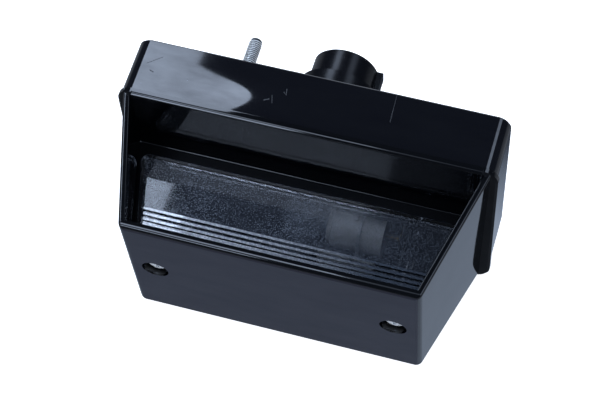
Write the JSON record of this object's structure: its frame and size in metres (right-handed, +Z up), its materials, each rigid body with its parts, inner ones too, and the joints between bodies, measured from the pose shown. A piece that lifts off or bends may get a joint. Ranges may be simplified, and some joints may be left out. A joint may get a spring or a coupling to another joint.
{
  "type": "number plate lamp",
  "caption": "Black moulded number plate lamp: box base, tapered hood with an open scoop over a clear ribbed lens, threaded stud and round plug socket on the flat back.",
  "frame": {"origin": "centre of the flat mounting face, on the axis of the round neck behind it", "axes": "+X to the right seen from the front, +Y back through the panel that the lamp is fixed to, +Z up to the open side of the scoop"},
  "size_m": [0.1364, 0.1022, 0.0734],
  "materials": {
    "base_black": "glossy, lightly scratched",
    "hood_black": "glossy inside, satin on the front plate",
    "lens_clear": "clear, stippled panel",
    "gasket_rubber": "matt",
    "screw_zinc": "bright zinc",
    "stud_zinc": "bright zinc",
    "socket_black": "glossy",
    "terminal_brass": "stamped, dull",
    "bracket_steel": "zinc",
    "shell_nickel": "nickel",
    "insulator_brown": "matt",
    "bulb_glass": "clear glass, bright cap"
  },
  "bodies": {
    "root": {"base_housing": "base_black", "hood": "hood_black", "lens": "lens_clear", "gasket": "gasket_rubber", "hood_screw_left": "screw_zinc", "hood_screw_right": "screw_zinc", "mounting_stud": "stud_zinc", "socket_body": "socket_black", "live_terminal": "terminal_brass", "earth_terminal": "terminal_brass", "holder_bracket": "bracket_steel", "bracket_screw_lower": "screw_zinc", "bracket_screw_upper": "screw_zinc", "bulb_shell": "shell_nickel", "shell_insulator": "insulator_brown", "centre_contact": "terminal_brass", "bulb": "bulb_glass"}
  },
  "joints": []
}
